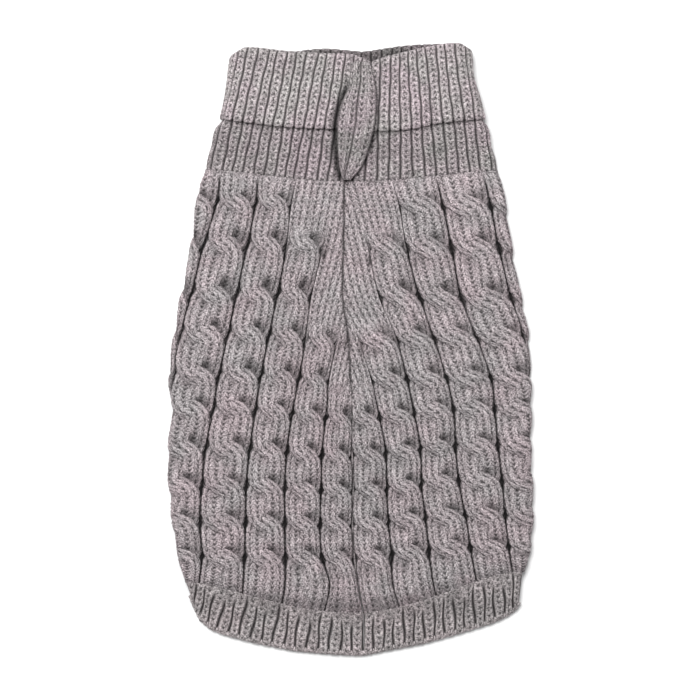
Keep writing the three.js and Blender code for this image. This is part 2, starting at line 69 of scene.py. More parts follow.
# Rounds that find a point from its column and level, and the place of a column's far gutter
ROUNDS = 4
JUST_UNDER_ONE = 0.999
# From the middle of the tables' own coordinates to the middle of the sweater's outline
TO_MIDDLE = np.array([0.684, 0.217, 0.0])
rng = np.random.default_rng(7)

# Across each half, in millimetres out from the middle line at each height: the side edge, the
# gutters between the cable columns from the side inwards, and the centre seam
SECTIONS = {
    -1: np.array([
        [104, 83.5, 74.5, 53.0, 29.5, 6.5, -17.5, -41.0, 4.0],
        [84, 87.8, 76.8, 54.5, 34.0, 10.5, -13.0, -36.0, 4.2],
        [59, 91.0, 84.5, 59.5, 37.0, 15.8, -7.0, -30.0, 4.5],
        [30, 96.8, 91.8, 65.8, 42.5, 22.8, 1.0, -21.0, 5.0],
        [8, 100.8, 98.0, 70.5, 47.0, 25.8, 7.0, -14.0, 2.0],
        [-17, 103.8, 102.0, 76.0, 52.0, 30.0, 12.5, -6.0, 0.5],
        [-36, 102.6, 105.0, 79.2, 55.0, 33.7, 14.2, -2.0, -0.5],
        [-58, 104.2, 109.0, 83.5, 58.0, 36.8, 16.7, -0.3, -0.3],
        [-78, 103.4, 111.0, 85.3, 60.0, 38.0, 17.2, -1.0, -1.0],
        [-98, 101.4, 112.0, 86.5, 60.4, 38.0, 17.8, -0.5, -0.5],
        [-118, 98.0, 111.0, 85.3, 61.0, 37.8, 17.0, -1.6, -1.6],
        [-134, 94.8, 110.0, 87.0, 61.8, 38.0, 12.5, -3.8, -3.8],
        [-152, 94.0, 110.0, 88.0, 63.0, 41.0, 16.0, -7.0, -7.0],
    ]),
    1: np.array([
        [104, 83.5, 74.5, 47.0, 20.5, -3.5, -27.0, -50.0, -4.0],
        [84, 87.0, 79.0, 51.8, 26.5, 2.5, -21.0, -44.0, -4.2],
        [59, 90.5, 84.0, 57.0, 31.0, 9.0, -14.0, -36.0, -4.5],
        [30, 96.0, 91.0, 62.5, 38.9, 15.5, -7.5, -30.0, -5.0],
        [8, 100.5, 98.5, 71.0, 46.5, 25.0, 3.0, -19.0, -2.0],
        [-17, 102.2, 104.0, 79.8, 54.4, 31.8, 11.0, -8.0, -0.5],
        [-36, 102.0, 107.0, 81.9, 58.5, 35.8, 15.5, -2.5, 0.5],
        [-58, 101.6, 110.0, 84.0, 59.5, 39.5, 19.5, 0.3, 0.3],
        [-78, 102.5, 112.0, 86.3, 61.7, 40.0, 20.2, 1.0, 1.0],
        [-98, 102.6, 113.0, 88.0, 65.6, 42.5, 21.0, 0.5, 0.5],
        [-118, 100.5, 112.0, 90.5, 68.7, 44.6, 23.1, 1.6, 1.6],
        [-134, 97.8, 110.0, 93.0, 71.5, 46.8, 23.6, 3.8, 3.8],
        [-152, 96.0, 110.0, 94.0, 74.0, 52.0, 29.0, 7.0, 7.0],
    ]),
}
EDGE, SEAM = 1, 8

# Heights of the cable crossings at the left side, the seam and the right side, and how far from
# the seam each takes to reach its side height
CROSSINGS = np.array([
    [103, 96, 102.5, 90], [84, 84, 82, 60], [60, 59, 58, 60], [31, 31, 28, 60], [9, 4, 7, 60],
    [-15, -18, -17, 60], [-34, -40, -34, 60], [-57, -61, -55, 60], [-78, -81, -75, 60],
    [-99, -100, -95, 60], [-119, -119, -113, 60], [-133, -151, -127, 100],
])
CABLE_START = [5.3, 3.8, 1.8, 0.2, 0.2, 0.2]

# Puckers of the plain panel: place, reach both ways, and height; the height also paints shade into
# the hollows and a little light onto the bumps
PUCKERS = np.array([
    [-20, 63, 6.5, 3.5, -1.2], [-15.6, 53.5, 1.4, 3.2, -2.6], [-24, 57, 7.0, 3.0, 0.9],
    [10.9, 51, 1.3, 3.6, -2.8], [19, 55.5, 11.0, 2.6, 1.5], [-19, -4, 3.0, 5.5, -1.6],
    [-9, 6, 6.0, 3.5, 0.8], [8, -1, 2.6, 4.0, -1.8], [4, 10, 6.0, 3.0, 0.8],
    [-2.4, 6, 2.4, 5.0, -1.7], [-8, 1, 9.0, 4.5, -0.9],
])


def mix(a, b, t):
    """a at 0 and b at 1, straight between."""
    return a + (b - a) * t


def smooth(start, end, value):
    """0 at start, 1 at end, by t * t * (3 - 2t) between them."""
    t = np.clip((value - start) / (end - start), 0, 1)
    return t * t * (3 - 2 * t)


def curve(table, column, at):
    """Cubic through one column of a table, read at values of its first column. Slopes are those of
    the lines between the neighbours."""
    table = table[np.argsort(table[:, 0])]
    keys, values = table[:, 0], table[:, column]
    last = len(keys) - 1
    before = np.maximum(np.arange(last + 1) - 1, 0)
    after = np.minimum(np.arange(last + 1) + 1, last)
    slopes = (values[after] - values[before]) / (keys[after] - keys[before])
    at = np.clip(at, keys[0], keys[-1])
    i = np.clip(np.searchsorted(keys, at, side="right") - 1, 0, last - 1)
    span = keys[i + 1] - keys[i]
    t = (at - keys[i]) / span
    bend = span * t * (1 - t) * ((1 - t) * slopes[i] - t * slopes[i + 1])
    return mix(values[i], values[i + 1], t * t * (3 - 2 * t)) + bend


def level_y(level, x):
    """Height of a crossing level at x: the centre's height at the seam, the side's past its reach,
    by (1 - d * d) squared, and straight between levels."""
    i = np.clip(np.floor(level), 0, LAST_LEVEL - 1).astype(int)

    def height(k):
        inside = 1 - np.minimum(1, np.abs(x) / CROSSINGS[k, 3]) ** 2
        side = np.where(x < 0, CROSSINGS[k, 0], CROSSINGS[k, 2])
        return mix(side, CROSSINGS[k, 1], inside**2)

    return mix(height(i), height(i + 1), level - i)


def row_level(side, row):
    """Crossing level of a knit row: rows are evenly tall on the mean of the side's and seam's
    heights."""
    heights = (CROSSINGS[:, 1 + side] + CROSSINGS[:, 1]) / 2
    share = (heights[0] - heights) / (heights[0] - heights[-1])
    return np.interp(row / BACK_ROWS, share, np.arange(LAST_LEVEL + 1))


def row_at(side, level):
    """Knit row at a crossing level."""
    rows = np.arange(BACK_ROWS + 1)
    return np.interp(level, row_level(side, rows), rows)


def side_seam(y):
    """Distance of the side seams from the middle, widest at the chest, less by a parabola."""
    return SIDE_SEAM_CHEST - SIDE_SEAM_DRAW_IN * ((y - CHEST_Y) / CHEST_TO_NECK) ** 2


def back_lift(y):
    """Height of the back's inner face: over the belly, then down to the surface past its hem."""
    return BACK_LIFT * smooth(DROP_ENDS, DROP_STARTS, y)


def across_back(side, column, y):
    """Distance out along the cloth of a column number from 0 at the seam end to 6 at the side seam,
    straight between gutters."""
    fold = curve(SECTIONS[side], EDGE, y) - FOLD_REACH
    rim = fold + FOLD_ARC + fold - side_seam(y)
    gutters = [curve(SECTIONS[side], k, y) for k in range(SEAM - 1, EDGE, -1)]
    lines = np.stack([np.minimum(gutter, rim - LEAST_TURNED_UNDER) for gutter in gutters] + [rim])
    k = np.clip(np.floor(column), 0, COLUMNS - 1).astype(int)
    low = np.take_along_axis(lines, k[None], 0)[0]
    high = np.take_along_axis(lines, k[None] + 1, 0)[0]
    return mix(low, high, column - k)


def settle(side, column, level):
    """Distance out and height of a point on a column and level, found in rounds because each
    depends on the other."""
    y = level_y(level, np.zeros_like(level))
    for _ in range(ROUNDS):
        out = across_back(side, column, y)
        y = level_y(level, side * np.minimum(out, curve(SECTIONS[side], EDGE, y)))
    return out, y


def lay(side, out, y, rise, stitch):
    """Point of the back: flat on top, half an ellipse round the side fold, then flat underneath,
    where the rise fades out."""
    fold = curve(SECTIONS[side], EDGE, y) - FOLD_REACH
    base = back_lift(y) + BACK_WALL
    turn = np.clip((out - fold) / FOLD_ARC, 0, 1) * np.pi
    proud = rise * smooth(0.9 * np.pi, 0, turn) + stitch - PLAIN_TOP
    half = (base + PLAIN_TOP) / 2
    x = np.minimum(out, fold) + (FOLD_REACH + proud) * np.sin(turn)
    x = x - np.maximum(out - fold - FOLD_ARC, 0)
    z = half + (half + proud) * np.cos(turn)
    return np.stack([side * x, y, np.maximum(z, 0)], axis=-1)


def stitch_grid(wales, first, last, steps=8, slant=1.0, loose=1.0):
    """Grid of V stitches. Each wale has some steps across and each row STEPS_DOWN down. Rows rise
    by slant towards both sides of a wale, so that they follow the V's legs. Returns wale and row of
    each vertex, the leg's height from 0 to 1, and its painted shade, dark between legs, along the
    wale's edges and in the hole at the V's foot. Each leg differs a little from the next."""
    u = np.arange(round(wales * steps) + 1) / steps
    top = first + min(slant, 0)
    down = int(np.ceil((last + max(slant, 0) - top) * STEPS_DOWN))
    w = top + np.arange(down + 1) / STEPS_DOWN
    u, w = np.meshgrid(u, w)
    a = np.abs(2 * (u - np.floor(u)) - 1)
    t = w - np.floor(w)
    crease = 1 - np.sin(np.pi * t) ** 0.75
    hole = np.exp(-((a / (0.4 * loose)) ** 2) - (np.minimum(t, 1 - t) / (0.33 * loose)) ** 2)
    leg = np.interp(a, [0, 0.25, 0.5, 0.75, 1], [0.74, 0.92, 1.0, 0.96, 0.7])
    each = rng.random((int(u.max()) * 2 + 2, int(w.max() - top) + 2))
    each = each[np.floor(u * 2).astype(int), np.floor(w - top).astype(int)] - 0.5
    return {
        "u": u,
        "v": np.clip(w - slant * a, first, last),
        "w": w,
        "a": a,
        "stitch": leg * (1 - 0.3 * loose * crease) * (1 + 0.25 * each) - 0.7 * hole,
        "shade": (1 - 0.12 * loose * crease) * (1 - 0.99 * hole)
        * (1 - 0.12 * (a > 0.9)) * (1 + 0.4 * each),
        "cut": np.zeros(u.shape, bool),
    }


def plain_grid(points, tone, a, w, cut=None, flip=False):
    """Grid without stitches, with what knit_piece needs of one."""
    if cut is None:
        cut = np.zeros(a.shape, bool)
    return {"points": points, "tone": tone, "a": a, "w": w, "cut": cut, "flip": flip}


def srgb(code):
    """Linear colour of an sRGB hex code."""
    parts = np.array([int(code[i : i + 2], 16) for i in (1, 3, 5)]) / 255
    linear = np.where(parts <= 0.04045, parts / 12.92, ((parts + 0.055) / 1.055) ** 2.4)
    return (*linear.tolist(), 1.0)


def add_node(tree, kind, settings, links=()):
    """Adds a node, gives its properties and sockets their settings, and links other nodes' sockets
    into its own."""
    node = tree.nodes.new(kind)
    for key, value in settings.items():
        if isinstance(key, str) and hasattr(node, key):
            setattr(node, key, value)
        else:
            node.inputs[key].default_value = value
    for key, source in dict(links).items():
        tree.links.new(source, node.inputs[key])
    return node


def acrylic_yarn(name, warm, cool):
    """Brushed acrylic yarn: matt and soft, patches of two greys a few centimetres wide, plies
    twisted about 1 mm apart along each leg, and fine fibres as bump. Acrylic has an IOR near
    1.49."""
    material = bpy.data.materials.new(name)
    material.use_nodes = True
    tree = material.node_tree
    shader = tree.nodes["Principled BSDF"]
    shader.inputs["Roughness"].default_value = 0.92
    shader.inputs["IOR"].default_value = 1.49
    shader.inputs["Specular IOR Level"].default_value = 0.15
    shader.inputs["Sheen Weight"].default_value = 0.08
    shader.inputs["Sheen Roughness"].default_value = 0.6
    shader.inputs["Sheen Tint"].default_value = srgb("#d8d0d2")
    place = add_node(tree, "ShaderNodeTexCoord", {})
    tone = add_node(tree, "ShaderNodeAttribute", {"attribute_name": "tone"})
    at = {"Vector": place.outputs["Object"]}
    patches = add_node(
        tree, "ShaderNodeTexNoise", {"Scale": 42, "Detail": 3, "Roughness": 0.6}, at
    )
    spread = add_node(
        tree, "ShaderNodeMapRange", {"From Min": 0.36, "From Max": 0.64},
        {"Value": patches.outputs["Fac"]},
    )
    patchy = add_node(
        tree, "ShaderNodeMix", {"data_type": "RGBA", 6: srgb(warm), 7: srgb(cool)},
        {0: spread.outputs[0]},
    )
    heather = add_node(
        tree, "ShaderNodeTexNoise", {"Scale": 1300, "Detail": 2, "Roughness": 0.8}, at
    )
    fleck = add_node(
        tree, "ShaderNodeMapRange",
        {"From Min": 0.33, "From Max": 0.67, "To Min": 0.1, "To Max": 2.05},
        {"Value": heather.outputs["Fac"]},
    )
    # The tone attribute holds painted shade in the knitting's holes, creases, gutters and hollows,
    # with each stitch's own random tone; the heather flecks are the yarn's grain.
    depth = add_node(
        tree, "ShaderNodeMath", {"operation": "MULTIPLY"},
        {0: tone.outputs["Fac"], 1: fleck.outputs[0]},
    )
    shaded = add_node(
        tree, "ShaderNodeVectorMath", {"operation": "SCALE"},
        {0: patchy.outputs[2], "Scale": depth.outputs[0]},
    )
    tree.links.new(shaded.outputs[0], shader.inputs["Base Color"])
    uv = add_node(tree, "ShaderNodeUVMap", {"uv_map": "yarn"})
    plies = add_node(
        tree, "ShaderNodeTexWave",
        {"bands_direction": "DIAGONAL", "Scale": 0.33, "Distortion": 1.2, "Detail": 1},
        {"Vector": uv.outputs[0]},
    )
    twist = add_node(
        tree, "ShaderNodeBump", {"Strength": 0.5, "Distance": 0.0003},
        {"Height": plies.outputs["Fac"]},
    )
    fibres = add_node(
        tree, "ShaderNodeTexNoise", {"Scale": 2600, "Detail": 3, "Roughness": 0.65}, at
    )
    fuzzy = add_node(
        tree, "ShaderNodeBump", {"Strength": 0.45, "Distance": 0.0004},
        {"Height": fibres.outputs["Fac"], "Normal": twist.outputs[0]},
    )
    tree.links.new(fuzzy.outputs[0], shader.inputs["Normal"])
    return material


def knit_piece(name, grids, material, nodes=()):
    """Mesh of several grids. Each grid has its points in millimetres, rows of them, a tone, stitch
    coordinates for the yarn, and is flipped where its rows would face inwards. Faces that are cut
    away or have no area are left out."""
    points, faces, tone, yarn = [], [], [], []
    start = 0
    for grid in grids:
        rows, columns = grid["points"].shape[:2]
        number = start + np.arange(rows * columns).reshape(rows, columns)
        corners = [number[:-1, :-1], number[1:, :-1], number[1:, 1:], number[:-1, 1:]]
        quads = np.stack(corners, axis=-1).reshape(-1, 4)
        if grid.get("flip"):
            quads = quads[:, ::-1]
        cut = grid["cut"].reshape(-1)[quads - start].all(axis=1)
        faces.append(quads[~cut])
        points.append(grid["points"].reshape(-1, 3))
        tone.append(np.broadcast_to(grid["tone"], (rows, columns)).reshape(-1))
        along = np.stack([grid["a"] * HALF_WALE, grid["w"] * YARN_ROW], axis=-1)
        yarn.append(along.reshape(-1, 2))
        start += rows * columns
    points, faces = np.concatenate(points), np.concatenate(faces)
    tone, yarn = np.concatenate(tone), np.concatenate(yarn)
    corner = points[faces]
    normal = np.cross(corner[:, 2] - corner[:, 0], corner[:, 3] - corner[:, 1])
    faces = faces[np.linalg.norm(normal, axis=1) > LEAST_FACE]
    used = np.unique(faces)
    fresh = np.full(len(points), -1)
    fresh[used] = np.arange(len(used))
    faces, points, tone, yarn = fresh[faces], points[used], tone[used], yarn[used]
    mesh = bpy.data.meshes.new(name)
    mesh.vertices.add(len(points))
    mesh.vertices.foreach_set("co", ((points + TO_MIDDLE) / 1000).ravel())
    mesh.loops.add(faces.size)
    mesh.loops.foreach_set("vertex_index", faces.ravel().astype(np.int32))
    mesh.polygons.add(len(faces))
    mesh.polygons.foreach_set("loop_start", (np.arange(len(faces)) * 4).astype(np.int32))
    mesh.update(calc_edges=True)
    mesh.polygons.foreach_set("use_smooth", np.ones(len(faces), bool))
    tones = mesh.attributes.new("tone", "FLOAT", "POINT")
    tones.data.foreach_set("value", tone.astype(np.float32))
    strands = mesh.uv_layers.new(name="yarn")
    strands.data.foreach_set("uv", yarn[faces.ravel()].ravel().astype(np.float32))
    mesh.materials.append(material)
    piece = bpy.data.objects.new(name, mesh)
    bpy.context.scene.collection.objects.link(piece)
    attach(piece, "root")
    if nodes:
        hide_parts(*nodes)
    return piece


def seam_out(side, y):
    """Distance of a half's centre seam edge from the middle."""
    return curve(SECTIONS[side], SEAM, y) + SEAM_CLEAR


def trim_at_seam(side, out, y):
    """Keeps points on their own side of the centre seam. Returns the distances, which are cut, and
    how far the cloth dips into the seam."""
    past = out - seam_out(side, y)
    dip = SEAM_DIP * np.exp(-((np.maximum(past, 0) / SEAM_DIP_WIDE) ** 2))
    return np.maximum(out, seam_out(side, y)), past < 0, dip


def settle_stitches(side, column, grid):
    """Crossing level, distance out and height of every vertex of a column's stitch grid."""
    level = row_level(side, grid["v"])
    across = grid["u"] / WALES
    return level, *settle(side, column + 1 - across if side > 0 else column + across, level)


def puckered(x, y):
    """Sum of soft round bumps and hollows, each height * exp(-d * d)."""
    total = np.zeros_like(x)
    for px, py, wide, tall, height in PUCKERS:
        total = total + height * np.exp(-(((x - px) / wide) ** 2) - ((y - py) / tall) ** 2)
    return total


def plain_column(side, column):
    """Stocking stitch of a column above its first crossing, sinking out of sight where the cable
    begins."""
    start = CABLE_START[column]
    grid = stitch_grid(WALES, 0, np.ceil(row_at(side, start + 0.5)))
    level, out, y = settle_stitches(side, column, grid)
    out, grid["cut"], dip = trim_at_seam(side, out, y)
    sunk = smooth(start - 0.25, start + 0.35, level)
    pucker = puckered(side * out, y) * (1 - sunk)
    grid["points"] = lay(side, out, y, pucker - dip - SUNK * sunk, grid["stitch"])
    # Painted shade: dotted along the centre seam's dip, over knitting that sinks where a cable
    # begins, and in the puckers' hollows, with a little painted light on their bumps.
    sewn = smooth(0.1, 0.8, dip) * mix(0.3, 0.75, np.abs(np.sin(0.95 * y)))
    hollow = 1 + 0.28 * np.clip(pucker, -2.9, 0.4)
    grid["tone"] = grid["shade"] * (1 - sewn) * (1 - 0.6 * sunk) * hollow
    grid["flip"] = True
    return grid


def from_gutter(side, column, out, y):
    """Distance of points from the nearer gutter of their column, the column's width, and the place
    across it, 0 at its left gutter to 1 at its right."""
    low = across_back(side, np.full_like(y, float(column)), y)
    high = across_back(side, np.full_like(y, column + JUST_UNDER_ONE), y)
    place = (out - low) / (high - low)
    return np.minimum(out - low, high - out), high - low, place if side > 0 else 1 - place


def ground(side, column):
    """Cloth that the cables are raised from: a pillow across the column, falling away into the
    gutters on both sides. Painted shade makes the gutters near black and the pillow dim under the
    ribbons."""
    first = np.floor(row_at(side, CABLE_START[column] - 0.1))
    grid = stitch_grid(WALES, first, BACK_ROWS, steps=6)
    _, out, y = settle_stitches(side, column, grid)
    near, _, _ = from_gutter(side, column, out, y)
    out, grid["cut"], dip = trim_at_seam(side, out, y)
    swell = smooth(0.6, 3.0, near + 0.9 * (grid["stitch"] - 0.6))
    rise = mix(GUTTER_FLOOR, PILLOW, swell) - dip
    grid["points"] = lay(side, out, y, rise, grid["stitch"] * swell)
    # Painted shade: near black in the gutters, dim on the pillow under the ribbons.
    grid["tone"] = grid["shade"] * mix(GUTTER_SHADE, PILLOW_SHADE, swell)
    grid["flip"] = True
    return grid


def reverse(side):
    """Purl side of the back, the plain inner face over the belly."""
    u, level = np.meshgrid(np.linspace(0, 1, 40), np.linspace(0, LAST_LEVEL, 80))
    y = level_y(level, np.zeros_like(level))
    for _ in range(ROUNDS):
        far = curve(SECTIONS[side], EDGE, y) - FOLD_REACH + 1
        x = mix(seam_out(side, y), far, u)
        y = level_y(level, side * x)
    z = back_lift(y) + 0.25 + 0.2 * np.sin(level * 50) * np.sin(u * 160)
    points = np.stack([side * x, y, z], axis=-1)
    return plain_grid(points, 0.8, u * 30, level * 7, flip=side > 0)


back_yarn = acrylic_yarn("acrylic yarn, cable knit", "#a19598", "#999495")
back_cloths, reverses = {}, {}
for side, name in ((-1, "left"), (1, "right")):
    grids = [plain_column(side, column) for column in range(COLUMNS)]
    grids += [ground(side, column) for column in range(COLUMNS)]
    back_cloths[side] = knit_piece(
        f"back_cloth_{name}", grids, back_yarn, [f"back_{name}"]
    )
    reverses[side] = knit_piece(
        f"back_reverse_{name}", [reverse(side)], back_yarn
    )


# Cables of the back: in every column two ribbons of five narrow wales wind round each other like a
# rope. The same yarn, crossed on a cable needle, each left ribbon passing in front to the right.
# Height of a ribbon's crown, how much it gains in front and loses behind
CROWN, LIFTED, PRESSED = 3.3, 1.1, 1.3
RIBBON_WALES = 5
RIBBON_ROWS = 95
# Shares of the column's width: a ribbon's swing, its half width and how far that narrows in front
SWING = 0.2
RIBBON_HALF = 0.3
SPREADS = -0.2
SUDDEN = 2.6
# Levels over which a cable begins, and half the step that gives its direction
BEGINS, BEGUN = 0.35, 0.3
DIRECTION_STEP = 0.07
RIBBON_SUNK, SIDE_SUNK = -1.2, 1.6
# How dark a ribbon is under its neighbour, and how much of that is seen below a crossing
DIVE_SHADE, DIVE_BELOW = 0.78, 0.35


def rope_turn(level):
    """Angle of the rope at a level: half a turn for each crossing, none at the ends."""
    return np.pi * np.clip(level, 0.5, LAST_LEVEL - 0.5)


def rope_across(strand, level):
    """Place of a ribbon across its column, 0 left to 1 right: 0.5 + strand * SWING * tanh(SUDDEN *
    sin(turn)) / tanh(SUDDEN)."""
    return 0.5 + strand * SWING * np.tanh(SUDDEN * np.sin(rope_turn(level))) / np.tanh(SUDDEN)


def ribbon(side, column, strand):
    """One ribbon: its middle follows the rope curve, its section is half an ellipse square to that
    curve, and its crown rises where it passes in front and sinks where it passes behind."""
    start = CABLE_START[column]
    first = np.floor(row_at(side, start - BEGINS) * RIBBON_ROWS / BACK_ROWS)
    grid = stitch_grid(RIBBON_WALES, first, RIBBON_ROWS)
    for key in grid:
        grid[key] = grid[key][:, 2:-2]
    level = row_level(side, grid["v"] * BACK_ROWS / RIBBON_ROWS)

    def middle(at):
        share = rope_across(strand, at)
        share = share if side > 0 else 1 - share
        return settle(side, column + share, np.clip(at, 0, LAST_LEVEL))

    out, y = middle(level)
    out_before, y_before = middle(level - DIRECTION_STEP)
    out_after, y_after = middle(level + DIRECTION_STEP)
    long = np.hypot(out_after - out_before, y_after - y_before) + 1e-6
    square_out, square_y = (y_before - y_after) / long, (out_after - out_before) / long
    _, width, _ = from_gutter(side, column, out, y)
    begun = smooth(start - BEGINS, start + BEGUN, level)
    flat = smooth(LAST_LEVEL, LAST_LEVEL - 0.5, level)
    front = strand * np.cos(rope_turn(level))
    crown = (CROWN + LIFTED * front - PRESSED * np.minimum(front, 0) ** 2) * mix(0.5, 1, flat)
    angle = (grid["u"] / RIBBON_WALES - 0.5) * np.pi
    half = RIBBON_HALF * width * (1 + SPREADS * np.maximum(front, 0) ** 3)
    reach = (half - 0.4 + 0.7 * grid["stitch"]) * np.sign(angle) * np.abs(np.sin(angle)) ** 0.9
    reach = reach * (1 if side > 0 else -1)
    out = out + square_out * reach
    y = y + square_y * reach
    near, _, place = from_gutter(side, column, out, y)
    out, grid["cut"], dip = trim_at_seam(side, out, y)
    open_side = smooth(-0.3, 1.1, near + 0.7 * (grid["stitch"] - 0.6))
    rise = mix(RIBBON_SUNK, crown * np.cos(angle) ** 0.55 - PLAIN_TOP, begun)
    rise = rise - dip * 0.6 - SIDE_SUNK * (1 - open_side)
    grid["points"] = lay(side, out, y, rise, grid["stitch"] * np.cos(angle) ** 0.5)
    above = np.sin(2 * rope_turn(level)) < 0
    pit_place, pit_wide = np.where(above, 0.62, 0.38), np.where(above, 0.3, 0.32)
    pit = np.exp(-(((place - pit_place) / pit_wide) ** 2))
    diving = smooth(0.1, 0.8, -front) * pit * mix(DIVE_BELOW, 1, above)
    # Painted shade: darker on the ribbon's flanks, near black where they sink into the gutters, in
    # the pit where a ribbon dives under its neighbour, and across the fold where the cable runs
    # into the hem.
    edges = mix(0.72, 1, smooth(0.08, 0.5, np.cos(angle))) * mix(0.02, 1, open_side)
    hem_fold_shade = 1 - 0.4 * smooth(LAST_LEVEL - 0.35, LAST_LEVEL - 0.05, level) * np.cos(angle)
    grid["tone"] = grid["shade"] * edges * (1 - DIVE_SHADE * diving) * hem_fold_shade
    return grid


cable_pieces = {}
for side, name in ((-1, "left"), (1, "right")):
    cable_pieces[side] = []
    for part, columns in (("inner", (0, 1, 2)), ("outer", (3, 4, 5))):
        grids = [ribbon(side, column, strand) for column in columns for strand in (-1, 1)]
        cables = knit_piece(f"cables_{name}_{part}", grids, back_yarn)
        cable_pieces[side].append(cables)


# Collar: a ribbed tube pressed flat. The stand comes up from the body, turns over at the top and
# comes down outside as a second layer, and its ribs are one knit wale and one purl gutter each.
# Reach of the collar to the left and the right at each height
COLLAR_SIDES = np.array([
    [96, 83.6, 83.9], [108, 82.6, 82.6], [117, 80.0, 80.0], [124, 78.6, 79.0], [130, 76.0, 77.3],
    [143, 73.0, 74.0], [155, 71.2, 70.3], [165, 70.0, 69.3], [175, 68.0, 69.0],
])
# Heights across the width: the top folds of the front and hind layers, and the turned free edge
COLLAR_TOP = np.array([
    [-70, 168.5, 169], [-60, 172, 173], [-35, 170, 170.5], [-24, 169.2, 171.6],
    [-14, 168.6, 172.2], [0, 168.2, 171], [6, 166.2, 170.5], [11, 164, 171], [17, 166, 172],
    [30, 169.4, 173.8], [42, 172.2, 174.6], [60, 174.7, 174.7], [70, 171.5, 172],
])
TURN_EDGE = np.array([
    [-76, 131], [-60, 129], [-40, 126.5], [-8, 125], [14, 124], [33, 125], [50, 128.5], [77, 131],
])
# The front's gutters, as they lie at the upper and the lower height of their fan
GUTTERS_HIGH = np.array([
    -69, -63.5, -57.5, -51, -46, -40, -34.5, -29, -22.5, -17, -11.5, -6, -0.5, 5, 10.5, 16, 22,
    27.5, 33, 38.5, 44, 50, 55.5, 61.5, 68,
])
GUTTERS_LOW = np.array([
    -78, -71, -65, -59, -53, -47, -41, -35, -29.5, -23.5, -17, -11, -4.5, 2, 8.5, 15, 21.5, 28,
    34.5, 41, 47, 53.5, 60, 66, 72,
])
# Sides and crease of the leaf of ribbing that lies over the collar's front
LEAF = np.array([
    [163, -0.5, 5.5, 10.5], [155, -1.0, 5.2, 12.8], [148, -2.0, 4.4, 14.0], [140, -5.5, 3.2, 14.2],
    [130, -7.7, 2.5, 13.5], [122, -8.0, 1.2, 11.8], [114, -7.8, -0.4, 9.6], [106, -7.0, -2.2, 6.4],
    [100, -5.9, -3.7, 2.6], [96.5, -4.9, -3.4, -0.6],
])
# Distances of the layers' outer faces off the middle of the pressed tube
STAND_OFF, TURN_OFF, INSIDE_OFF = 3.35, 6.85, 0.15
STAND_FOOT, STAND_TOP, STAND_ROWS = 99, 131, 11
TURNED_ROWS = 24
# The rolled free edge: its radius, and how far along the cloth it goes
EDGE_ROLL, EDGE_ALONG = 1.6, 2.5
# Heights at which the two tables of gutters hold, and the last height that the ribs fan out to
FAN_LOW, FAN_HIGH, FAN_TOP = 115, 150, 172
# Ribs across the front, and on each half of the hind layer
FRONT_RIBS = 24
BEHIND = 14
COLLAR_ROUNDS = 3
RIB_DEPTH = 1.7


def collar_middle(y):
    """Height of the flattened tube's middle: it climbs where the turned layer lies under it."""
    return mix(STAND_OFF, TURN_OFF, smooth(103, 125, y))


def collar_half(side, y, off):
    """Reach of the flat part of the tube to one side, for a layer at a distance off its middle."""
    tuck = 3.5 * smooth(126, 134, y) if off < TURN_OFF else 0
    return curve(COLLAR_SIDES, 1 if side < 0 else 2, y) - tuck - off


def round_tube(across, y, off, layer):
    """Point of the flattened tube: flat in front, half a circle at the side, flat behind. across is
    the distance from the front's middle along the tube."""
    flat = np.where(across < 0, collar_half(-1, y, layer), collar_half(1, y, layer))
    past = np.abs(across) - flat
    angle = np.clip(past / layer, 0, np.pi)
    x = flat + np.minimum(past, 0) + off * np.sin(angle) - np.maximum(past - np.pi * layer, 0)
    z = collar_middle(y) + off * np.cos(angle)
    return np.sign(across) * x, z, angle / np.pi


def rib_across(rib, y, layer):
    """Distance round the tube of a rib number: the front's gutters as they fan out, then even ribs
    to the middle of the back."""
    rib = rib - BEHIND
    share = (y - FAN_LOW) / (FAN_HIGH - FAN_LOW)
    k = np.clip(np.floor(rib), 0, FRONT_RIBS - 1).astype(int)
    line = mix(GUTTERS_LOW, GUTTERS_HIGH, share[..., None])
    low = np.take_along_axis(line, k[..., None], -1)[..., 0]
    high = np.take_along_axis(line, k[..., None] + 1, -1)[..., 0]
    front = mix(low, high, np.clip(rib - k, 0, 1))
    far = [side * (2 * collar_half(side, y, layer) + np.pi * layer) for side in (-1, 1)]
    left = mix(line[..., 0], far[0], -rib / BEHIND)
    right = mix(line[..., FRONT_RIBS], far[1], (rib - FRONT_RIBS) / BEHIND)
    wander = 0.16 * np.sin(y / 2.3 + rib * 2.2) + 0.2 * np.sin(y / 7.1 - rib * 1.3)
    return np.where(rib < 0, left, np.where(rib > FRONT_RIBS, right, front)) + wander


def rib_grid(ribs, first, last, slant=0.8):
    """Stitch grid with one knit wale to a rib and a deep purl gutter on each side of it."""
    grid = stitch_grid(ribs, first, last, steps=12, slant=slant, loose=0.75)
    grid["gutter"] = smooth(0.68, 1.0, grid["a"] + 0.12 * (grid["stitch"] - 0.7))
    return grid


def rib_relief(grid):
    """Height of ribbing under its crest: the stitch's own relief, less the gutter's depth."""
    return 0.8 * (grid["stitch"] - 1) - RIB_DEPTH * grid["gutter"]


def rib_tones(grid):
    """Painted shade of ribbing, darkest in its gutters."""
    return grid["shade"] * (1 - 0.97 * grid["gutter"] ** 1.3)


def beside_leaf(x, y):
    """Shade of the hollow along the leaf's left side and under its right edge: less by a bell curve
    of the distance."""
    left, right = curve(LEAF, 1, y), curve(LEAF, 3, y)
    there = smooth(94, 99, y) * smooth(158, 146, y)
    shadow = 0.9 * np.exp(-(((x - left + 1.2) / 2.5) ** 2))
    shadow = shadow + 0.6 * np.exp(-(((x - right) / 1.5) ** 2))
    return 1 - np.minimum(shadow, 0.9) * there


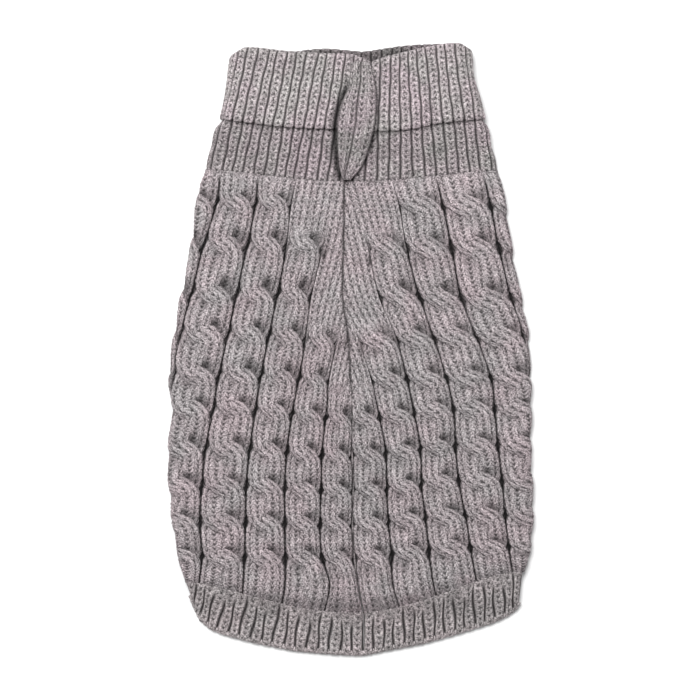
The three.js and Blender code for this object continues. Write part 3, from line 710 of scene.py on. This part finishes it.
def stand():
    """Stand: ribs from the collar seam up to where the turned layer hides them."""
    grid = rib_grid(FRONT_RIBS + 2 * BEHIND, 0, STAND_ROWS, slant=-0.8)
    up = grid["v"] / STAND_ROWS
    y = mix(STAND_FOOT, STAND_TOP, up)
    for _ in range(COLLAR_ROUNDS):
        across = rib_across(grid["u"], y, STAND_OFF)
        x, _, _ = round_tube(across, y, STAND_OFF, STAND_OFF)
        foot = level_y(np.zeros_like(x), x) + SEAM_CLEAR
        y = mix(foot, STAND_TOP, up)
    across = rib_across(grid["u"], y, STAND_OFF)
    x, z, _ = round_tube(across, y, STAND_OFF + rib_relief(grid), STAND_OFF)
    grid["points"] = np.stack([x, y, np.maximum(z, 0)], axis=-1)
    # Painted shade: the stand a little darker than the turned layer that lies over it, darkest in
    # its rib gutters, and in the leaf's shadow.
    grid["tone"] = rib_tones(grid) * 0.86 * np.where(z > STAND_OFF, beside_leaf(x, y), 1)
    grid["flip"] = True
    return grid


def turned():
    """Turned layer: from its free edge up the outside, over the top in half a circle, and down the
    inside of the neck."""
    grid = rib_grid(FRONT_RIBS + 2 * BEHIND, 0, TURNED_ROWS)
    along = grid["v"] * ROW
    y = np.full(along.shape, float(FAN_HIGH))
    relief = rib_relief(grid)
    roll = (TURN_OFF - INSIDE_OFF) / 2
    curl = np.clip(along / EDGE_ALONG, 0, 1) * np.pi / 2
    for _ in range(COLLAR_ROUNDS):
        fanned = np.clip(y, FAN_LOW, FAN_TOP)
        across = rib_across(grid["u"], fanned, TURN_OFF)
        x, _, behind = round_tube(across, fanned, TURN_OFF, TURN_OFF)
        edge = curve(TURN_EDGE, 1, x) + 1.1 * grid["gutter"] * (along < 8)
        top = mix(curve(COLLAR_TOP, 1, x), curve(COLLAR_TOP, 2, x), smooth(0.3, 0.7, behind))
        face = top - roll - edge - EDGE_ROLL
        over = np.clip((along - EDGE_ALONG - face) / roll, 0, np.pi)
        down = np.maximum(along - EDGE_ALONG - face - np.pi * roll, 0)
        soft = roll + relief * (1 - 0.75 * np.sin(over))
        y = edge + EDGE_ROLL * (1 - np.cos(curl)) + np.clip(along - EDGE_ALONG, 0, face)
        y = y + soft * np.sin(over) - down
    off = TURN_OFF - EDGE_ROLL * (1 - np.sin(curl)) - roll + soft * np.cos(over)
    x, z, behind = round_tube(across, y, off, TURN_OFF)
    grid["points"] = np.stack([x, y, np.maximum(z, 0)], axis=-1)
    # Painted shade: darker where the layer turns over the top and down inside the neck, and on the
    # hind layer's top seen past the front's edge; a touch of painted light on the outside face.
    hind = smooth(0.4, 0.6, behind) * smooth(0.0, 0.6, over)
    inside = mix(1.04, 0.7, smooth(0.3 * np.pi, np.pi, over))
    grid["tone"] = rib_tones(grid) * inside * (1 - 0.42 * hind)
    grid["tone"] = grid["tone"] * np.where(z > TURN_OFF, beside_leaf(x, y), 1)
    grid["flip"] = True
    return grid


collar_yarn = acrylic_yarn("acrylic yarn, collar rib", "#a09498", "#989493")
collar_stand = knit_piece("collar_stand", [stand()], collar_yarn)
collar_turn = knit_piece("collar_turned_layer", [turned()], collar_yarn, ["collar"])


# Leaf: the loose pointed end of the turned collar. Two lobes of ribbing with a crease between them,
# lying on the turned layer, dropping over its free edge and ending on the back's seam.
LOBE_WALES = 2
LEAF_ROWS = 19
LEAF_TOP, LEAF_TIP = 163.0, 96.5
LEAF_DROPS_FROM, LEAF_DROPS_TO = 123.5, 111


def leaf_under(y):
    """Height under the leaf: the turned layer's crest, then the stand's."""
    on_turn = collar_middle(np.full_like(y, LEAF_DROPS_FROM)) + TURN_OFF + 0.3
    on_stand = collar_middle(y) + STAND_OFF + 0.75
    return mix(on_stand, on_turn, smooth(LEAF_DROPS_TO, LEAF_DROPS_FROM, y))


def leaf_lobe(lobe):
    """One lobe: wales side by side from the edge to the crease, domed by a half sine, rows slanting
    to the tip."""
    grid = stitch_grid(LOBE_WALES, 0, LEAF_ROWS)
    share = grid["u"] / LOBE_WALES
    y = mix(LEAF_TOP, LEAF_TIP, grid["v"] / LEAF_ROWS)
    x = mix(curve(LEAF, lobe, y), curve(LEAF, lobe + 1, y), share)
    dome = np.sin(np.pi * np.clip(share, 0, 1))
    thick = mix(0.8, 1.0, smooth(LEAF_TOP, 148, y))
    z = leaf_under(y) + (1.0 + 2.4 * dome**0.7) * thick + 0.8 * grid["stitch"]
    y = y + 1.5 * (dome - 0.5) * smooth(LEAF_TIP, 104, y) * (1 - smooth(155, LEAF_TOP, y))
    between = np.exp(-(((grid["u"] - 1) / 0.16) ** 2))
    between = between * mix(0.4, 1, np.abs(np.sin(np.pi * grid["w"])))
    z = z - 0.5 * between
    grid["points"] = np.stack([x, y, z], axis=-1)
    # Painted shade: dark at each lobe's sides, against the cloth and at the crease, and in the
    # groove between its two wales.
    grid["tone"] = grid["shade"] * mix(0.3, 1.05, smooth(0, 0.45, dome)) * (1 - 0.4 * between)
    return grid


def leaf_back():
    """Flat underside of the leaf."""
    u, y = np.meshgrid(np.linspace(0, 1, 7), np.linspace(LEAF_TOP, LEAF_TIP, 30))
    x = mix(curve(LEAF, 1, y), curve(LEAF, 3, y), u)
    points = np.stack([x, y, leaf_under(y) + 0.1], axis=-1)
    return plain_grid(points, 0.6, u, y / ROW, flip=True)


leaf_faces = [leaf_lobe(1), leaf_lobe(2), leaf_back()]
leaf = knit_piece("collar_leaf", leaf_faces, collar_yarn, ["collar_fold"])


# Hem of the back: a ribbed band in two parts, one on each side of the centre seam, fanned out along
# the curved free edge, which is cast off in a rolled chain of stitches, painted lighter on their
# swells.
HEM_EDGE = {
    -1: np.array([
        [6.5, -175.2], [-10, -174.5], [-33, -172.4], [-55, -168], [-72, -163.5], [-80, -160.5],
        [-86, -155.5], [-89.5, -148], [-91.8, -141],
    ]),
    1: np.array([
        [6.5, -175.2], [20, -172.3], [40, -168.6], [60, -163], [80, -156.8], [89, -152.6],
        [93.4, -149.2], [95.6, -144.8],
    ]),
}
HEM_RIBS = {-1: 17, 1: 16}
HEM_TOP_END = {-1: 94.6, 1: 97.6}
HEM_WALL = 2.4
HEM_ROWS = 10
# Height of a rib's crest over the wall, how far the band reaches up over the cables, and its waver
HEM_RAISE = 1.8
HEM_OVERLAP = 0.7
HEM_WANDER = 0.7
CHAIN_PITCH = 3.0
HEM_CHAIN_RADIUS, UNDER_CHAIN_RADIUS = 1.55, 1.3


def along_edge(edge, share):
    """Point at a share of a line's length."""
    length = np.append(0, np.cumsum(np.hypot(*np.diff(edge, axis=0).T)))
    return [np.interp(share * length[-1], length, edge[:, k]) for k in (0, 1)]


def hem_lines(side, share):
    """Top and free end of a rib line: the top evenly spaced in width, the free end evenly along the
    edge."""
    seam = seam_out(side, np.full_like(share, SECTIONS[side][-1, 0]))
    top_x = side * mix(seam, HEM_TOP_END[side], share)
    top_y = level_y(np.full_like(share, float(LAST_LEVEL)), top_x) + HEM_OVERLAP
    free_x, free_y = along_edge(HEM_EDGE[side], share)
    return top_x, top_y, np.where(share == 0, side * seam, free_x), free_y


def hem(side):
    """Hem band: rows a fixed height apart from the body down, each stopping where it meets the free
    edge."""
    grid = rib_grid(HEM_RIBS[side], 0, HEM_ROWS)
    share = grid["u"] / HEM_RIBS[side]
    top_x, top_y, free_x, free_y = hem_lines(side, share)
    long = np.hypot(free_x - top_x, free_y - top_y)
    down = np.clip(grid["v"] * ROW / long, 0, 1)
    grid["cut"] = grid["v"] * ROW > long
    inner = np.minimum(1, 12 * share * (1 - share)) * np.sin(np.pi * down)
    x, y = mix(top_x, free_x, down), mix(top_y, free_y, down)
    x = x + inner * HEM_WANDER * np.sin(41 * share + 5 * down)
    drop = 1.6 * smooth(0.97, 1.0, share) + 0.9 * smooth(0.93, 1.0, down)
    seam_dip = 1.2 * np.exp(-((share * HEM_RIBS[side] / 0.3) ** 2))
    near, _, place = from_gutter(side, 0, np.abs(top_x), top_y)
    for column in range(1, COLUMNS):
        beside, _, across = from_gutter(side, column, np.abs(top_x), top_y)
        near, place = np.where(beside > near, [beside, across], [near, place])
    later = smooth(0.8, 4.5, near) * mix(0.05, 0.36, place)
    begun = smooth(later - 0.04, later + 0.14, down)
    grid["gutter"] = grid["gutter"] * begun
    z = back_lift(y) + HEM_WALL + HEM_RAISE + rib_relief(grid) - drop - seam_dip
    grid["points"] = np.stack([x, y, z], axis=-1)
    # Painted shade: broad dark rib gutters, and darker at the top where the band meets the cables
    # before its ribs begin.
    grid["tone"] = rib_tones(grid) * (1 - 0.55 * grid["gutter"] ** 0.5)
    grid["tone"] = grid["tone"] * mix(0.8, 0.98, begun)
    grid["flip"] = side < 0
    purl = dict(grid, flip=side > 0, tone=grid["tone"] * 0.9)
    z = back_lift(y) + 0.3 + 0.9 * (1 - grid["gutter"]) * (1 - seam_dip / 2)
    purl["points"] = np.stack([x, y, z], axis=-1)
    return grid, purl


def chain_edge(path, radius):
    """Rolled chain along a free edge: a tube whose radius swells once for each stitch, the swelling
    wound round it."""
    step = np.append(0, np.cumsum(np.linalg.norm(np.diff(path, axis=0), axis=1)))
    count = int(step[-1] / CHAIN_PITCH) * 6
    at = np.linspace(0, step[-1], count + 1)
    line = np.stack([np.interp(at, step, path[:, k]) for k in range(3)], axis=-1)
    tangent = np.gradient(line, axis=0)
    tangent /= np.linalg.norm(tangent, axis=1)[:, None]
    up = np.broadcast_to([0.0, 0.0, 1.0], tangent.shape)
    aside = np.cross(tangent, up)
    angle = np.linspace(0, 2 * np.pi, 11)
    angle, along = np.meshgrid(angle, at)
    phase = np.pi * along / CHAIN_PITCH + angle / 2
    swell = radius * (0.78 + 0.3 * np.abs(np.sin(phase)))
    ring = np.cos(angle)[..., None] * aside[:, None] + np.sin(angle)[..., None] * up[:, None]
    points = line[:, None] + swell[..., None] * ring
    # Painted light and shade: each stitch lighter on its swell and darker between.
    tone = 0.85 + 0.3 * np.abs(np.sin(phase))
    return plain_grid(points, tone, angle / 6, along / ROW)


def hem_chain(side):
    """Chain along the hem's free edge, a little inside it."""
    share = np.linspace(0, 1, 120)
    _, _, x, y = hem_lines(side, share)
    path = np.stack([x, y + 1.4 * smooth(1.1, 0.9, share), back_lift(y) + 1.7], axis=-1)
    return chain_edge(path, HEM_CHAIN_RADIUS)


hem_yarn = acrylic_yarn("acrylic yarn, hem rib", "#9c9394", "#959090")
for side, name in ((-1, "left"), (1, "right")):
    outer, inner = hem(side)
    band = knit_piece(f"hem_{name}", [outer], hem_yarn, [f"hem_back_{name}"])
    purl = knit_piece(f"hem_reverse_{name}", [inner], hem_yarn)
    chain = knit_piece(f"hem_chain_{name}", [hem_chain(side)], hem_yarn)


# Belly: the underside panel in plain stocking stitch, shorter than the back, with an oval opening
# for each front leg. It lies face down, sewn to the back's turned-under strips.
BELLY_TOP, BELLY_HEM_TOP, BELLY_HEM_END = 96.0, -113.0, -133.0
BELLY_WALES, BELLY_ROWS = 42, 68
BELLY_INNER = 2.9
LEG_X, LEG_Y, LEG_WIDE, LEG_LONG, LEG_BAND = 40.0, 46.0, 17.5, 22.5, 8.0


def push_out(x, y, wide, tall):
    """Moves points inside a leg oval out to its rim, and says which they were."""
    side = np.where(x < 0, -1, 1)
    dx, dy = x - side * LEG_X, y - LEG_Y
    size = np.hypot(dx / wide, dy / tall)
    inside = size < 1
    grow = np.where(inside, 1 / np.maximum(size, 1e-3), 1)
    return side * LEG_X + dx * grow, LEG_Y + dy * grow, inside


belly_grid = stitch_grid(BELLY_WALES, 0, BELLY_ROWS, steps=4)
up = 1 - belly_grid["v"] / BELLY_ROWS
y = mix(BELLY_TOP, BELLY_HEM_TOP, belly_grid["v"] / BELLY_ROWS)
x = (belly_grid["u"] - BELLY_WALES / 2) * 2 * HALF_WALE
reach = side_seam(y) - 2 * SEAM_CLEAR
off = np.abs(x) > reach
x, y, inside = push_out(np.clip(x, -reach, reach), y, LEG_WIDE + LEG_BAND, LEG_LONG + LEG_BAND)
belly_grid["cut"] = inside | off
y = y + (level_y(np.zeros_like(x), x) - BELLY_TOP) * up - SEAM_CLEAR
belly_grid["points"] = np.stack([x, y, 1.0 - belly_grid["stitch"]], axis=-1)
belly_grid["tone"] = belly_grid["shade"]
belly_grid["flip"] = True
u, v = np.meshgrid(np.linspace(-1, 1, 60), np.linspace(0, 1, 80))
y = mix(100.0, BELLY_HEM_END, v)
x, y, inside = push_out(u * (side_seam(y) - 0.5), y, LEG_WIDE, LEG_LONG)
lining_points = np.stack([x, y, np.full_like(x, BELLY_INNER)], axis=-1)
lining = plain_grid(lining_points, 0.8, u * 20, v * 60, cut=inside)
belly_yarn = acrylic_yarn("acrylic yarn, belly", "#9c9394", "#959090")
belly = knit_piece("belly_cloth", [belly_grid, lining], belly_yarn, ["belly"])


# Belly hem: the straight ribbed band on the shorter lower edge of the belly.
BELLY_RIBS, BELLY_HEM_ROWS = 25, 6
belly_band = rib_grid(BELLY_RIBS, 0, BELLY_HEM_ROWS)
down = belly_band["v"] / BELLY_HEM_ROWS
y = mix(BELLY_HEM_TOP - SEAM_CLEAR, BELLY_HEM_END + 1.0, down)
x = (belly_band["u"] / BELLY_RIBS * 2 - 1) * (side_seam(y) - 2 * SEAM_CLEAR)
belly_band["points"] = np.stack([x, y, -rib_relief(belly_band)], axis=-1)
belly_band["tone"] = rib_tones(belly_band)
belly_band["flip"] = True
x = np.linspace(-1, 1, 200) * (side_seam(BELLY_HEM_END) - 2)
path = np.stack([x, np.full_like(x, BELLY_HEM_END + 1.4), np.full_like(x, 1.5)], axis=-1)
belly_edge = chain_edge(path, UNDER_CHAIN_RADIUS)
band = knit_piece("belly_hem_band", [belly_band], hem_yarn, ["hem_belly"])
chain = knit_piece("belly_hem_chain", [belly_edge], hem_yarn)


# Leg bands: a ribbed ring round each leg opening, picked up from the belly and cast off in a chain.
LEG_RIBS, LEG_ROWS = 25, 3


def leg_ring(side, turn, reach, z):
    """Point of the oval ring, at an angle and a reach outwards from the opening's own edge."""
    x = side * LEG_X + (LEG_WIDE + reach) * np.cos(turn)
    y = LEG_Y + (LEG_LONG + reach) * np.sin(turn)
    return np.stack([x, y, z], axis=-1)


for side, name in ((-1, "left"), (1, "right")):
    ring = rib_grid(LEG_RIBS, 0, LEG_ROWS)
    turn = ring["u"] / LEG_RIBS * 2 * np.pi
    reach = LEG_BAND - 0.2 - 6.6 * ring["v"] / LEG_ROWS
    ring["points"] = leg_ring(side, turn, reach, np.maximum(-rib_relief(ring), 0))
    ring["tone"] = rib_tones(ring)
    turn = np.linspace(0, 2 * np.pi, 160)
    path = leg_ring(side, turn, 1.4, np.full_like(turn, 1.5))
    edge = chain_edge(path, UNDER_CHAIN_RADIUS)
    band = knit_piece(f"leg_band_ring_{name}", [ring], hem_yarn, [f"leg_band_{name}"])
    chain = knit_piece(f"leg_band_chain_{name}", [edge], hem_yarn)


# Floor and light: a plain pale floor, one broad soft light above the collar end, and the camera
# straight above, its frame 399 mm wide at the cloth.
FLOOR_HALF = 3
CAMERA_HEIGHT, FRAME_WIDTH, CLOTH_HEIGHT = 1.5, 0.399, 0.008
SENSOR_WIDTH = 36
CAMERA_X, CAMERA_Y = -0.00017, -0.00007
LAMP_X, LAMP_Y, LAMP_Z = -0.25, 0.55, 1.3
floor_mesh = bpy.data.meshes.new("floor")
floor_corners = [(-1, -1), (1, -1), (1, 1), (-1, 1)]
floor_mesh.from_pydata(
    [(x * FLOOR_HALF, y * FLOOR_HALF, 0) for x, y in floor_corners], [], [(0, 1, 2, 3)]
)
floor = bpy.data.objects.new("floor", floor_mesh)
bpy.context.scene.collection.objects.link(floor)
paper = bpy.data.materials.new("matt white paper")
paper.use_nodes = True
paper_shader = paper.node_tree.nodes["Principled BSDF"]
paper_shader.inputs["Base Color"].default_value = srgb("#f4f4f4")
paper_shader.inputs["Roughness"].default_value = 0.9
floor_mesh.materials.append(paper)

lamp = bpy.data.lights.new("softbox", "AREA")
lamp.shape = "DISK"
lamp.size = 0.9
lamp.energy = 27
softbox = bpy.data.objects.new("softbox", lamp)
softbox.location = (LAMP_X, LAMP_Y, LAMP_Z)
softbox.rotation_euler = (np.arctan2(-LAMP_Y, LAMP_Z), np.arctan2(LAMP_X, LAMP_Z), 0)
bpy.context.scene.collection.objects.link(softbox)
world = bpy.data.worlds.new("studio")
world.use_nodes = True
sky = world.node_tree.nodes["Background"]
sky.inputs["Color"].default_value = (1, 1, 1, 1)
sky.inputs["Strength"].default_value = 0.4
bpy.context.scene.world = world

bpy.context.scene.view_settings.view_transform = "Standard"
lens = bpy.data.cameras.new("camera")
lens.sensor_width = SENSOR_WIDTH
lens.lens = SENSOR_WIDTH * CAMERA_HEIGHT / FRAME_WIDTH
camera = bpy.data.objects.new("camera", lens)
camera.location = (CAMERA_X, CAMERA_Y, CAMERA_HEIGHT + CLOTH_HEIGHT)
bpy.context.scene.collection.objects.link(camera)
bpy.context.scene.camera = camera
